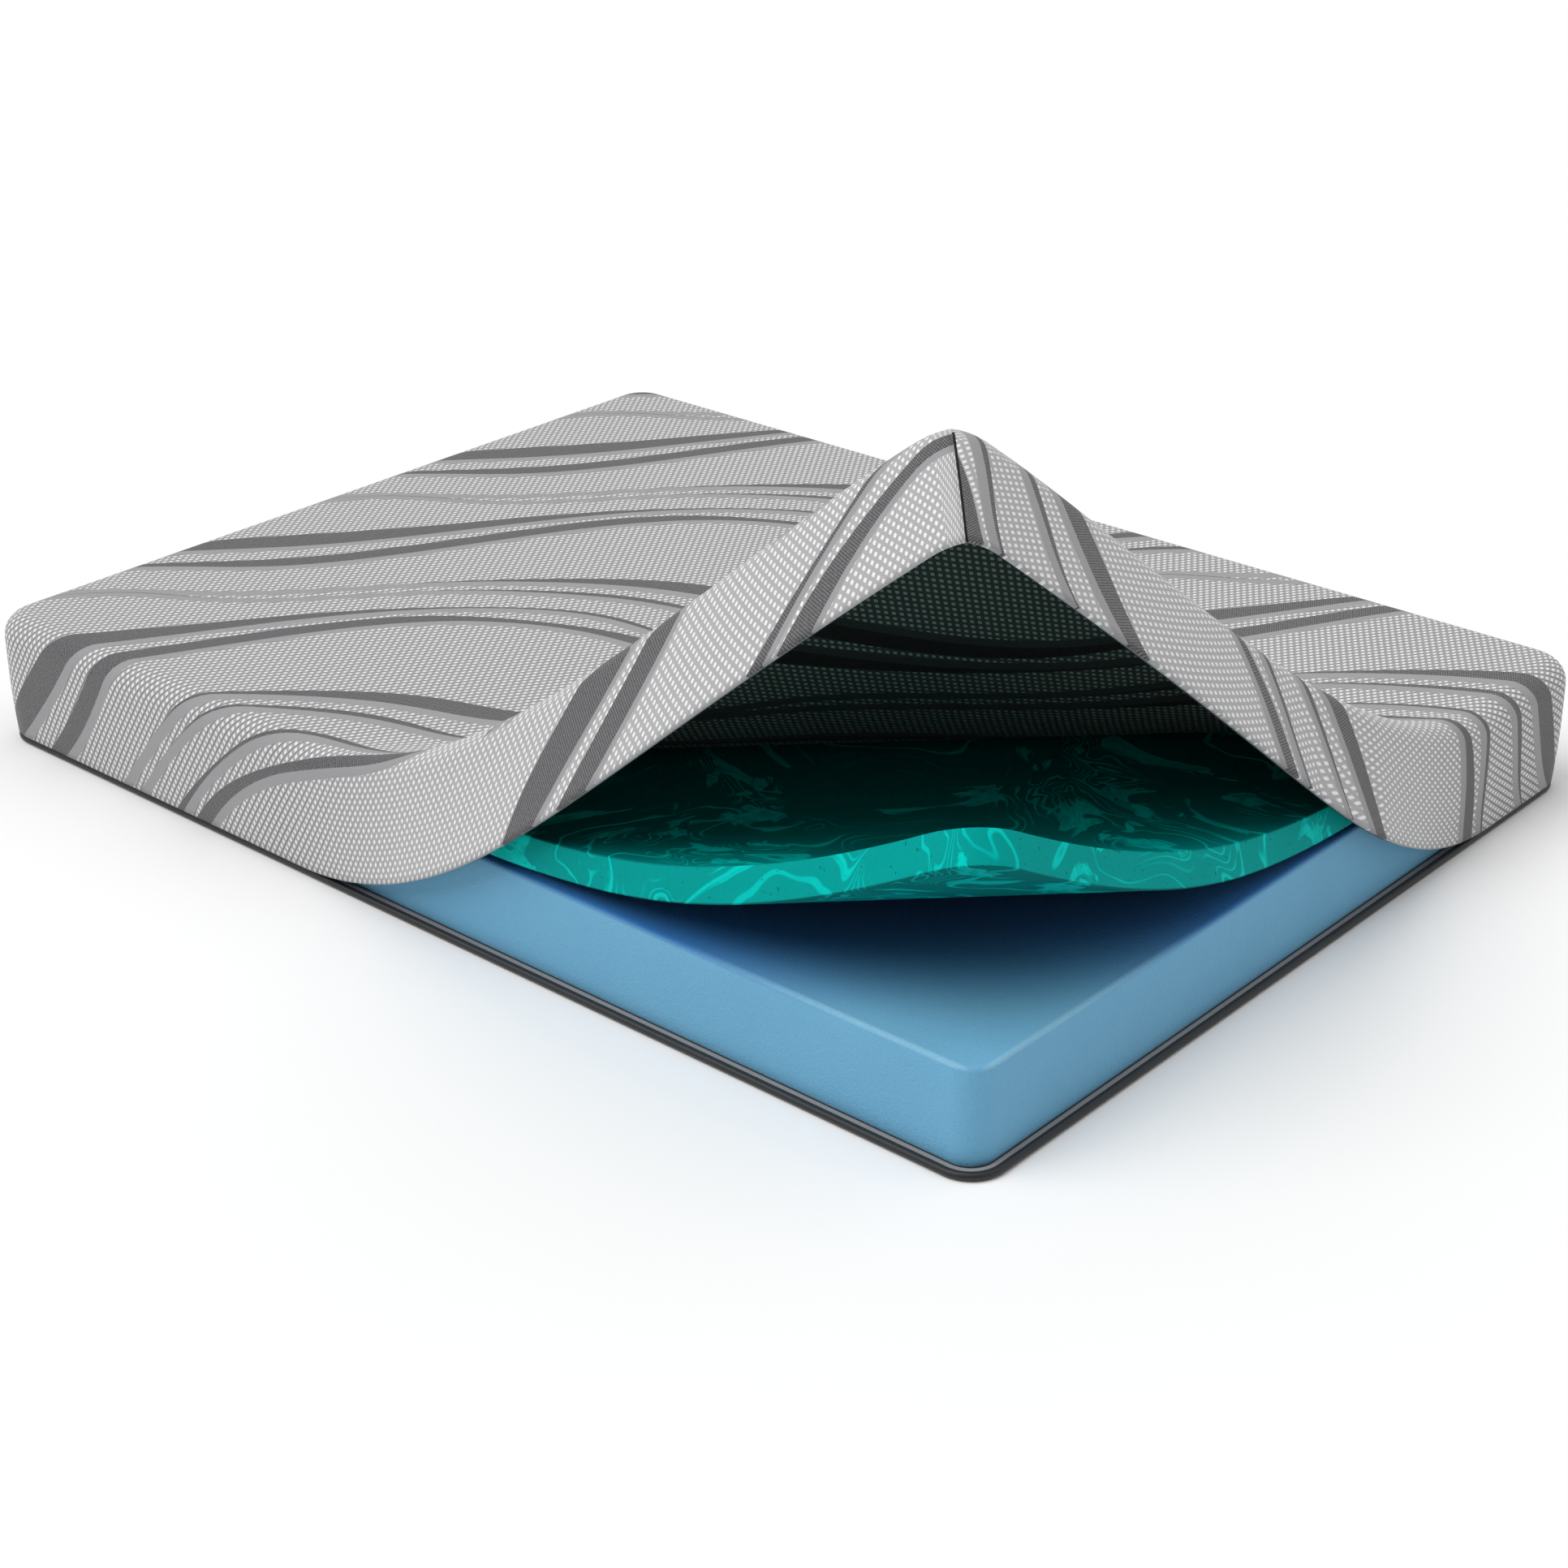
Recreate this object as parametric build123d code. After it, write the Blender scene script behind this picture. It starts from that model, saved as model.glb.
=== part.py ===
from build123d import *
import os
from math import comb, sqrt

# A queen memory foam mattress with one corner of its zip-off cover peeled back and the
# corner of its gel layer lifted.  X is the width, Y the length, +Z up, origin at the
# middle of the underside.  The open corner is the one at -X, -Y.  All sizes are mm.

# ---- driving dimensions -------------------------------------------------------------
WIDTH = 1524.0              # queen size, measured on the centre line of the piping
LENGTH = 2032.0
PIPING_D = 12.0             # piping around the underside
PIPING_CORD_D = 9.0         # soft cord inside the piping's sleeve
PIPING_CORNER_R = 51.0      # plan radius of the piping's centre line

BASE_T = 3.0                # non-slip panel under the foam
CORE_H = 152.4              # 6 in of support foam
CORE_INSET = 14.0           # foam wall inside the piping's centre line
CORE_CORNER_R = 42.0
CORE_EDGE_R = 5.0
GEL_H = 51.0                # 2 in of gel memory foam
GEL_INSET = 20.0
GEL_CORNER_R = 84.0

COVER_T = 5.5               # knit cover with its wadding
COVER_OUTSET = 11.0         # cover wall outside the piping's centre line
COVER_CORNER_R = 68.0
COVER_ROLL_R = 40.0         # rounded edge between the top and the walls
COVER_TOP_Z = 223.0
HEM_Z = 15.0                # bottom of the cover's walls
WALL_H = COVER_TOP_Z - HEM_Z

RUN_GAP = 0.3               # running clearance on each side of a moving face

TAPE_T = 1.2                # woven zip tape
COIL_T = 2.2                # nylon coil, taken as a plain bead
FLAP_TAPE_GAP = 0.6         # between the lifted wall, its tape and its coil
SLIDER_L = 22.0

# ---- the open corner ----------------------------------------------------------------
# Points near the open corner are given by s, the distance from the corner along the
# diagonal, t, the distance to the side of the diagonal (+ towards the short side of the
# mattress), and the height z.
FOLD_S = 900.0              # the cover leaves the flat along this line across the corner
HALF_SQRT = sqrt(0.5)
CORNER_S = -COVER_OUTSET * sqrt(2)      # the sharp corner of the cover's walls

# The peeled-back cover.  The edge curve is where its top and wall would meet if they
# were not rounded, and the hem curve is the bottom of the wall.  Both are symmetric
# about the diagonal, and both run from the fold line up to the lifted corner.
FOLD_T = FOLD_S - CORNER_S
EDGE_S = [FOLD_S, FOLD_S - FOLD_T / 5, 685.0, 552.0, 541.0, 418.0]
EDGE_Z = [COVER_TOP_Z, COVER_TOP_Z, 382.0, 532.0, 742.0, 874.0]
HEM_S = [FOLD_S, FOLD_S - FOLD_T / 5, 490.0, 444.0, 335.0, 246.0]
HEM_T = [FOLD_T, FOLD_T * 4 / 5, 577.0, 507.0, 155.0, 0.0]
HEM_RISE = [HEM_Z, HEM_Z, 232.0, 355.0, 648.0, 780.0]

NOSE_S = 20.0               # flat end of the lifted nose

# The lifted gel corner bends along four lines square to the diagonal.
GEL_FOLDS = [(740.0, 3.6), (580.0, 9.5), (420.0, 14.1), (260.0, 11.7)]

# ---- derived levels -----------------------------------------------------------------
HALF_X = WIDTH / 2
HALF_Y = LENGTH / 2
CORE_TOP_Z = BASE_T + CORE_H
GEL_TOP_Z = CORE_TOP_Z + GEL_H
PIPING_R = PIPING_D / 2
FAR = 4000.0


def at(s, t, z):
    """A point given by the open corner's diagonal coordinates."""
    return Vector(-HALF_X + (s + t) * HALF_SQRT, -HALF_Y + (s - t) * HALF_SQRT, z)


def slab(outset, corner_r, z0, z1):
    """A rounded slab whose walls stand `outset` outside the piping's centre line."""
    outline = RectangleRounded(WIDTH + 2 * outset, LENGTH + 2 * outset, corner_r)
    return Pos(0, 0, z0) * extrude(outline, z1 - z0)


def ring(outer, inner, corner_r, z0, z1):
    """A flat band between two outlines that share their corners' centres."""
    hole = slab(inner, corner_r - (outer - inner), z0 - 1, z1 + 1)
    return slab(outer, corner_r, z0, z1) - hole


def between(s0, s1):
    """Everything between two planes square to the diagonal."""
    middle = at((s0 + s1) / 2, 0, 0)
    return Pos(middle.X, middle.Y, 0) * Rot(0, 0, 45) * Box(s1 - s0, FAR, FAR)


def closed_side():
    """The part of the mattress whose cover stays on."""
    return between(FOLD_S + RUN_GAP, FAR)


def bezier(points, u):
    n = len(points) - 1
    return sum(comb(n, i) * (1 - u) ** (n - i) * u ** i * p for i, p in enumerate(points))


def lifted(s, t, depth):
    """Where a point of the flat cover goes when its corner is peeled back.

    s and t are its place in plan, and depth is how far it lies below the cover's top.
    """
    reach = s - CORNER_S
    if s >= FOLD_S:
        return at(s, t, COVER_TOP_Z - depth)
    u = 1 - reach / FOLD_T
    share = depth / WALL_H
    spread = 1 + (bezier(HEM_T, u) / reach - 1) * share
    place = (1 - share) * bezier(EDGE_S, u) + share * bezier(HEM_S, u)
    height = (1 - share) * bezier(EDGE_Z, u) + share * bezier(HEM_RISE, u)
    return at(place, t * spread, height)


def half_width(s, inset):
    """Half the cover's width across the diagonal at s, `inset` inside its outer face."""
    centre = CORNER_S + COVER_CORNER_R * sqrt(2)
    radius = COVER_CORNER_R - inset
    if s >= centre - radius * HALF_SQRT:
        return s - CORNER_S - inset * sqrt(2)
    return sqrt(max(radius ** 2 - (centre - s) ** 2, 4.0))


def arch(s, inset, bottom):
    """The cover's cross section at s: wall, rounded edge, top, rounded edge, wall."""
    centre = CORNER_S + COVER_CORNER_R * sqrt(2)
    roll = COVER_ROLL_R - inset
    full = min(roll, max(COVER_CORNER_R - inset - max(centre - s, 0), 1.0))
    side = []
    for part in (1.0, 0.3, 0.0):
        inward = full * part
        depth = inset + roll - sqrt(roll ** 2 - (roll - inward) ** 2)
        side.append((half_width(s, inset + inward), depth))
    side.append((half_width(s, inset), bottom))
    left = [lifted(s, -t, depth) for t, depth in reversed(side)]
    right = [lifted(s, t, depth) for t, depth in side]
    return Wire.make_polygon(left + right, close=True)


def band(s, inset, top, bottom):
    """A cross section between two depths of the cover, from wall to wall."""
    t = half_width(s, inset)
    corners = [(-t, bottom), (-t, top), (t, top), (t, bottom)]
    return Wire.make_polygon([lifted(s, side, depth) for side, depth in corners], close=True)


def stations(first, last):
    """Places along the diagonal for the sections, closer together at the nose."""
    return [first] + list(range(850, 99, -75)) + [70.0, 45.0, last]


# ---- foam and base ------------------------------------------------------------------
def make_base_panel():
    return slab(-PIPING_R, PIPING_CORNER_R - PIPING_R, 0, BASE_T)


def piping_tube(outer_d, inner_d):
    outline = RectangleRounded(WIDTH, LENGTH, PIPING_CORNER_R)
    path = Pos(0, 0, PIPING_R) * outline.wire()
    section = Circle(outer_d / 2)
    if inner_d:
        section -= Circle(inner_d / 2)
    start = Plane(origin=path @ 0, z_dir=path % 0)
    return sweep(start * section, path)


def make_support_core():
    block = slab(-CORE_INSET, CORE_CORNER_R, BASE_T, CORE_TOP_Z)
    return fillet(block.edges().group_by(Axis.Z)[-1], CORE_EDGE_R)


def gel_slab(bottom_z):
    return slab(-GEL_INSET, GEL_CORNER_R, bottom_z, GEL_TOP_Z)


def make_gel_layer():
    return gel_slab(CORE_TOP_Z) & between(GEL_FOLDS[0][0] + RUN_GAP, FAR)


def turn_about(s, degrees):
    """A turn that lifts the corner about a line on the gel's top, square to the diagonal."""
    pivot = at(s, 0, GEL_TOP_Z)
    line = Axis((pivot.X, pivot.Y, pivot.Z), (HALF_SQRT, -HALF_SQRT, 0))
    return lambda shape: shape.rotate(line, -degrees)


def make_gel_strip(index):
    """One strip of the gel corner, bent up with all the strips before it."""
    outer = GEL_FOLDS[index][0] - RUN_GAP
    inner = GEL_FOLDS[index + 1][0] + RUN_GAP if index + 1 < len(GEL_FOLDS) else -100.0
    strip = gel_slab(CORE_TOP_Z + 2 * RUN_GAP) & between(inner, outer)
    for s, degrees in reversed(GEL_FOLDS[:index + 1]):
        strip = turn_about(s, degrees)(strip)
    return strip


# ---- cover --------------------------------------------------------------------------
def make_knit_cover():
    """The part of the cover that stays on, from its top down to the hem."""
    outer = slab(COVER_OUTSET, COVER_CORNER_R, HEM_Z, COVER_TOP_Z)
    outer = fillet(outer.edges().group_by(Axis.Z)[-1], COVER_ROLL_R)
    inset = COVER_OUTSET - COVER_T
    inner = slab(inset, COVER_CORNER_R - COVER_T, HEM_Z - 10, COVER_TOP_Z - COVER_T)
    inner = fillet(inner.edges().group_by(Axis.Z)[-1], COVER_ROLL_R - COVER_T)
    return (outer - inner) & closed_side()


def make_corner_flap():
    """The peeled-back corner: a bent top panel with both walls and the rounded nose."""
    outer = [arch(s, 0, WALL_H) for s in stations(FOLD_S - RUN_GAP, NOSE_S)]
    inner = [arch(s, COVER_T, WALL_H + 30) for s in stations(FOLD_S + 30, NOSE_S + COVER_T)]
    return Solid.make_loft(outer, ruled=True) - Solid.make_loft(inner, ruled=True)


def flap_hem_strip(inset, thickness, top, bottom):
    """A strip along the inside of the lifted hem, around the nose and up the other side."""
    outer = [band(s, inset, top, bottom)
             for s in stations(FOLD_S - RUN_GAP, NOSE_S + inset)]
    inner = [band(s, inset + thickness, top - 4, bottom + 4)
             for s in stations(FOLD_S + 30, NOSE_S + inset + thickness)]
    return Solid.make_loft(outer, ruled=True) - Solid.make_loft(inner, ruled=True)


def make_flap_zip_tape():
    return flap_hem_strip(COVER_T + FLAP_TAPE_GAP, TAPE_T, WALL_H - 18, WALL_H - 2)


def make_flap_zip_coil():
    inset = COVER_T + 2 * FLAP_TAPE_GAP + TAPE_T
    return flap_hem_strip(inset, COIL_T, WALL_H - 5, WALL_H - 5 + COIL_T)


def make_front_corner_seam():
    """Binding tape over the seam inside the lifted nose."""
    s = NOSE_S + COVER_T + 0.5
    ends = []
    for depth in (COVER_ROLL_R + 6, WALL_H - 24):
        corners = [(s, -5), (s, 5), (s + TAPE_T, 5), (s + TAPE_T, -5)]
        ends.append(Wire.make_polygon([lifted(a, b, depth) for a, b in corners], close=True))
    return Solid.make_loft(ends, ruled=True)


def make_corner_seam(side_x, side_y):
    """Binding tape over the seam inside one of the closed corners."""
    inset = COVER_T + 0.2
    reach = (COVER_CORNER_R - inset) - TAPE_T / 2
    cx = side_x * (HALF_X + COVER_OUTSET - COVER_CORNER_R)
    cy = side_y * (HALF_Y + COVER_OUTSET - COVER_CORNER_R)
    top = COVER_TOP_Z - COVER_ROLL_R - 4
    bottom = HEM_Z + 24
    tape = Box(TAPE_T, 10, top - bottom)
    angle = 45 if side_x * side_y > 0 else -45
    place = Pos(cx + side_x * reach * HALF_SQRT, cy + side_y * reach * HALF_SQRT,
                (top + bottom) / 2)
    return place * Rot(0, 0, angle) * tape


# ---- zip ----------------------------------------------------------------------------
# The lower tape is sewn in beside the piping.  Where the zip is closed it stands up
# below the upper coil, and round the open corner it lies flat against the foam.
TAPE_FACE = -5.4            # outer face of the standing lower tape
TAPE_ROOT_Z = 9.0
COIL_FACE = TAPE_FACE + 0.5
LOWER_COIL_Z = 14.2
BLADE_SLOT = 1.6            # room between the two coils for the slider's blade
UPPER_COIL_Z = LOWER_COIL_Z + COIL_T + BLADE_SLOT
UPPER_TAPE_Z = UPPER_COIL_Z + COIL_T


def zip_corner_r(outset):
    return PIPING_CORNER_R + outset


def zip_ring(outset, width, z0, z1):
    return ring(outset, outset - width, zip_corner_r(outset), z0, z1)


def open_corner():
    return between(-FAR, FOLD_S + RUN_GAP)


def make_lower_zip_tape():
    standing = zip_ring(TAPE_FACE, TAPE_T, TAPE_ROOT_Z, LOWER_COIL_Z) & closed_side()
    lying = ring(TAPE_FACE, -CORE_INSET + 0.2, zip_corner_r(TAPE_FACE),
                 TAPE_ROOT_Z, TAPE_ROOT_Z + TAPE_T) & open_corner()
    return standing + lying


def make_lower_zip_coil():
    standing = zip_ring(COIL_FACE, COIL_T, LOWER_COIL_Z, LOWER_COIL_Z + COIL_T)
    lying_z = TAPE_ROOT_Z + TAPE_T
    lying = zip_ring(-CORE_INSET + 0.4 + COIL_T, COIL_T, lying_z, lying_z + COIL_T)
    return (standing & closed_side()) + (lying & open_corner())


def make_upper_zip_tape():
    wall_face = COVER_OUTSET - COVER_T
    shelf = ring(wall_face, TAPE_FACE - TAPE_T, COVER_CORNER_R - COVER_T,
                 UPPER_TAPE_Z, UPPER_TAPE_Z + TAPE_T)
    return shelf & closed_side()


def make_upper_zip_coil():
    bead = zip_ring(COIL_FACE, COIL_T, UPPER_COIL_Z, UPPER_TAPE_Z)
    return bead & closed_side()


# The slider is drawn with its travel along +X and the outside of the mattress at -Y.
PLATE_T = 1.2
PLATE_Z0 = PIPING_D + 0.8
PLATE_Z1 = UPPER_TAPE_Z - 0.4
PLATE_GAP = COIL_T + 1.0
LUG_REACH = 6.0
PIN_OUT = 3.4               # pin's distance outside the outer plate
PIN_R = 1.2
TAB_T = 1.6
TAB_L = 26.0
TAB_W = 6.0
TAB_Z = PIPING_D + 0.7


def slider_body():
    """Two plates joined by the blade that parts the coils, with a lug for the pull."""
    tall = PLATE_Z1 - PLATE_Z0
    mid_z = (PLATE_Z0 + PLATE_Z1) / 2
    plate_y = PLATE_GAP / 2 + PLATE_T / 2
    body = Pos(0, plate_y, mid_z) * Box(SLIDER_L, PLATE_T, tall)
    body += Pos(0, -plate_y, mid_z) * Box(SLIDER_L, PLATE_T, tall)
    blade_z = LOWER_COIL_Z + COIL_T + BLADE_SLOT / 2
    body += Pos(0, 0, blade_z) * Box(SLIDER_L, PLATE_GAP, BLADE_SLOT - 0.8)
    outer_y = -(PLATE_GAP / 2 + PLATE_T)
    lug_z = TAB_Z + TAB_T + 0.4
    lug = Box(8, LUG_REACH, 1.6, align=(Align.CENTER, Align.MAX, Align.MIN))
    body += Pos(0, outer_y, lug_z) * lug
    pin = Cylinder(PIN_R, lug_z - TAB_Z + 0.2, align=(Align.CENTER, Align.CENTER, Align.MAX))
    return body + Pos(0, outer_y - PIN_OUT, lug_z + 0.1) * pin


def pull_tab():
    """A flat pull that turns on the slider's pin and lies in the groove at rest."""
    flat = SlotCenterToCenter(TAB_L, TAB_W)
    flat -= Pos(-TAB_L / 2, 0) * Circle(PIN_R + RUN_GAP)
    flat -= Pos(TAB_L / 2, 0) * Circle(1.5)
    pin_y = -(PLATE_GAP / 2 + PLATE_T) - PIN_OUT
    return Pos(TAB_L / 2, pin_y, TAB_Z) * extrude(flat, TAB_T)


SLIDER_START = FOLD_S * sqrt(2) + 8 + SLIDER_L / 2
COIL_MIDDLE = COIL_FACE - COIL_T / 2


def on_long_side(shape):
    """Places a slider part in the groove of the long side beside the open corner."""
    x = -HALF_X - COIL_MIDDLE
    return Pos(x, -HALF_Y + SLIDER_START, 0) * mirror(Rot(0, 0, 90) * shape, Plane.YZ)


def on_short_side(shape):
    return Pos(-HALF_X + SLIDER_START, -HALF_Y - COIL_MIDDLE, 0) * shape


# ---- all the pieces -----------------------------------------------------------------
def pieces():
    yield "base_panel", make_base_panel()
    yield "piping_sleeve", piping_tube(PIPING_D, PIPING_CORD_D)
    yield "piping_cord", piping_tube(PIPING_CORD_D, 0)
    yield "support_core", make_support_core()
    yield "gel_layer", make_gel_layer()
    for index in range(len(GEL_FOLDS)):
        yield f"gel_corner_{index + 1}", make_gel_strip(index)
    yield "knit_cover", make_knit_cover()
    yield "cover_corner_flap", make_corner_flap()
    yield "front_corner_seam", make_front_corner_seam()
    yield "left_corner_seam", make_corner_seam(-1, 1)
    yield "right_corner_seam", make_corner_seam(1, -1)
    yield "rear_corner_seam", make_corner_seam(1, 1)
    yield "lower_zip_tape", make_lower_zip_tape()
    yield "lower_zip_coil", make_lower_zip_coil()
    yield "upper_zip_tape", make_upper_zip_tape()
    yield "upper_zip_coil", make_upper_zip_coil()
    yield "flap_zip_tape", make_flap_zip_tape()
    yield "flap_zip_coil", make_flap_zip_coil()
    yield "left_zip_slider", on_long_side(slider_body())
    yield "right_zip_slider", on_short_side(slider_body())
    yield "left_pull_tab", on_long_side(pull_tab())
    yield "right_pull_tab", on_short_side(pull_tab())


os.makedirs("parts", exist_ok=True)
for name, shape in pieces():
    export_step(shape, f"parts/{name}.step")
    box = shape.bounding_box()
    print(f"{name:20s} {shape.volume / 1000:12.1f} cm3  "
          f"{box.min.X:8.1f} {box.min.Y:8.1f} {box.min.Z:7.1f}  "
          f"{box.max.X:8.1f} {box.max.Y:8.1f} {box.max.Z:7.1f}")
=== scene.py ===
from math import comb, cos, pi, radians, sin, sqrt

import bmesh
import bpy
import numpy as np
from mathutils import Matrix, Vector


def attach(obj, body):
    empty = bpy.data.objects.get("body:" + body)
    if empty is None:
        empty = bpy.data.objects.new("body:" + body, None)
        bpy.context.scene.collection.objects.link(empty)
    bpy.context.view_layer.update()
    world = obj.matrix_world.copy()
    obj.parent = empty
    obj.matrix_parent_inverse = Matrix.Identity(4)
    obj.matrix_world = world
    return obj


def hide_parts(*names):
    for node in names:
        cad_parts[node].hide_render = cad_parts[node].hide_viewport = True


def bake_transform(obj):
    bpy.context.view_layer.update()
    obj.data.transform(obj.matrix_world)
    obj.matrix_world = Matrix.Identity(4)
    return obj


# The looks of a queen memory foam mattress: a knit cover peeled back at one corner over
# a lifted gel layer, a blue support foam and dark piping.  Everything is in metres.

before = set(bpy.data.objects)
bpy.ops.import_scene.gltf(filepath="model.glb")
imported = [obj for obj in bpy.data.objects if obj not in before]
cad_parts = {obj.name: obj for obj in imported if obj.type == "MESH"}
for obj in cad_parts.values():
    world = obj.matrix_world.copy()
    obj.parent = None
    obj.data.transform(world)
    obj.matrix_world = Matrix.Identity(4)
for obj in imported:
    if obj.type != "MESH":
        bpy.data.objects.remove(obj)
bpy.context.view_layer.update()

# ---- sizes shared with the model ----------------------------------------------------
HALF_X = 0.762              # to the centre line of the piping
HALF_Y = 1.016
PIPING_R = 0.006
PIPING_CORNER_R = 0.051
BASE_T = 0.003
CORE_TOP_Z = 0.1554
CORE_INSET = 0.014
CORE_CORNER_R = 0.042
GEL_H = 0.051
GEL_TOP_Z = CORE_TOP_Z + GEL_H
GEL_INSET = 0.020
GEL_CORNER_R = 0.084
COVER_T = 0.0055
COVER_OUTSET = 0.011
COVER_CORNER_R = 0.068
COVER_ROLL_R = 0.040
COVER_TOP_Z = 0.223
HEM_Z = 0.015
WALL_H = COVER_TOP_Z - HEM_Z
HALF_SQRT = sqrt(0.5)

# ---- the peeled-back corner ---------------------------------------------------------
# s is the distance from the open corner along the diagonal and t the distance sideways.
FOLD_S = 0.900
CORNER_S = -COVER_OUTSET * sqrt(2)
FOLD_T = FOLD_S - CORNER_S
EDGE_S = [FOLD_S, FOLD_S - FOLD_T / 5, 0.685, 0.552, 0.541, 0.418]
EDGE_Z = [COVER_TOP_Z, COVER_TOP_Z, 0.382, 0.532, 0.742, 0.883]
HEM_S = [FOLD_S, FOLD_S - FOLD_T / 5, 0.490, 0.444, 0.335, 0.246]
HEM_T = [FOLD_T, FOLD_T * 4 / 5, 0.577, 0.507, 0.155, 0.0]
HEM_RISE = [HEM_Z, HEM_Z, 0.232, 0.355, 0.648, 0.789]

# The gel's corner curls up from here.  The curl tightens, then eases towards the tip.
CURL_S = 0.838
CURL_MOST = 1.61            # 1/m
CURL_TIP = 0.63
CURL_HALF = 0.419           # from the start of the curl to its tightest part
CURL_END = 1.0
CURL_STEPS = 400
GEL_FOLDS = [0.740, 0.580, 0.420, 0.260]


def at(s, t):
    """Plan position of a point given by the open corner's diagonal coordinates."""
    return -HALF_X + (s + t) * HALF_SQRT, -HALF_Y + (s - t) * HALF_SQRT


def diagonal(x, y):
    s = ((x + HALF_X) + (y + HALF_Y)) * HALF_SQRT
    t = ((x + HALF_X) - (y + HALF_Y)) * HALF_SQRT
    return s, t


def bezier(points, u):
    n = len(points) - 1
    return sum(comb(n, i) * (1 - u) ** (n - i) * u ** i * p for i, p in enumerate(points))


def lifted(x, y, depth):
    """Where points of the flat cover go when its corner is peeled back."""
    s, t = diagonal(x, y)
    reach = np.maximum(s - CORNER_S, 1e-6)
    u = np.clip(1 - reach / FOLD_T, 0, 1.02)
    share = depth / WALL_H
    spread = 1 + (bezier(HEM_T, u) / reach - 1) * share
    place = (1 - share) * bezier(EDGE_S, u) + share * bezier(HEM_S, u)
    height = (1 - share) * bezier(EDGE_Z, u) + share * bezier(HEM_RISE, u)
    flat = s >= FOLD_S
    s = np.where(flat, s, place)
    t = np.where(flat, t, t * spread)
    px, py = at(s, t)
    return np.stack([px, py, np.where(flat, COVER_TOP_Z - depth, height)], -1)


# ---- nodes --------------------------------------------------------------------------
class Value:
    """An output of a node, which Python's operators and a few methods work on."""

    def __init__(self, tree, socket):
        self.tree, self.socket = tree, socket

    def math(self, operation, *others):
        return self.tree.node(self.tree.MATH, {"operation": operation}, dict(enumerate(others)))

    def __add__(self, other):
        return self.math("ADD", self, other)

    def __sub__(self, other):
        return self.math("SUBTRACT", self, other)

    def __rsub__(self, other):
        return self.math("SUBTRACT", other, self)

    def __mul__(self, other):
        return self.math("MULTIPLY", self, other)

    def __truediv__(self, other):
        return self.math("DIVIDE", self, other)

    def __abs__(self):
        return self.math("ABSOLUTE", self)

    __radd__ = __add__
    __rmul__ = __mul__

    def power(self, other):
        return self.math("POWER", self, other)

    def sine(self):
        return self.math("SINE", self)

    def fraction(self):
        return self.math("FRACT", self)

    def most(self, other):
        return self.math("MAXIMUM", self, other)

    def rise(self, low, high):
        """0 below low, 1 above high and smooth between them."""
        settings = {"interpolation_type": "SMOOTHSTEP"}
        sockets = {"Value": self, "From Min": low, "From Max": high}
        return self.tree.node("ShaderNodeMapRange", settings, sockets)


class Tree:
    """A node tree, with one method that adds any node."""
    MATH = "ShaderNodeMath"

    def __init__(self, tree):
        self.nodes = tree.nodes
        self.links = tree.links

    def node(self, kind, settings=None, sockets=None, output=0):
        made = self.nodes.new(kind)
        for name, value in (settings or {}).items():
            setattr(made, name, value)
        for name, value in (sockets or {}).items():
            if isinstance(value, Value):
                self.links.new(value.socket, made.inputs[name])
            else:
                made.inputs[name].default_value = value
        return Value(self, made.outputs[output]) if len(made.outputs) else made


class Finish(Tree):
    """A material under construction."""

    def __init__(self, name):
        self.material = bpy.data.materials.new(name)
        self.material.use_nodes = True
        super().__init__(self.material.node_tree)
        self.nodes.clear()

    def place(self):
        """Object coordinates."""
        return self.node("ShaderNodeTexCoord", output="Object")

    def stored(self, name, output="Vector"):
        return self.node("ShaderNodeAttribute", {"attribute_name": name}, output=output)

    def parts(self, vector):
        return [self.node("ShaderNodeSeparateXYZ", sockets={0: vector}, output=i) for i in range(3)]

    def joined(self, x, y):
        return self.node("ShaderNodeCombineXYZ", sockets={0: x, 1: y})

    def map(self, name):
        """Coordinates from one of the piece's UV maps."""
        return self.node("ShaderNodeUVMap", {"uv_map": name})

    def noise(self, vector, scale, detail=2.0, rough=0.5, bend=0.0, output="Fac"):
        sockets = {"Vector": vector, "Scale": scale, "Detail": detail, "Roughness": rough,
                   "Distortion": bend}
        return self.node("ShaderNodeTexNoise", None, sockets, output)

    def mixed(self, factor, first, second):
        """A colour between two others."""
        return self.node("ShaderNodeMix", {"data_type": "RGBA"},
                         {0: factor, 6: first, 7: second}, 2)

    def bump(self, height):
        """A normal from a height in metres."""
        sockets = {"Height": height, "Distance": 1.0, "Strength": 1.0}
        return self.node("ShaderNodeBump", None, sockets)

    def done(self, **sockets):
        """Ends the material in one shader, whose sockets are named with underscores."""
        named = {name.replace("_", " "): value for name, value in sockets.items()}
        shader = self.node("ShaderNodeBsdfPrincipled", None, named)
        self.node("ShaderNodeOutputMaterial", None, {"Surface": shader})
        return self.material


def from_corner(x, y):
    """How far in from the open corner a point is, along the diagonal."""
    return (x + y + (HALF_X + HALF_Y)) * HALF_SQRT


def wave(value, length):
    """A sine of a length."""
    return (value * (2 * pi / length)).sine()


def rgb(red, green, blue):
    """A colour given in 0 to 255 as a screen shows it, made linear."""
    def linear(c):
        c = c / 255
        return c / 12.92 if c <= 0.04045 else ((c + 0.055) / 1.055) ** 2.4
    return (linear(red), linear(green), linear(blue), 1.0)


def shade(color, share):
    """A colour made darker or lighter in its screen values."""
    return rgb(*[c * share for c in color])


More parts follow.
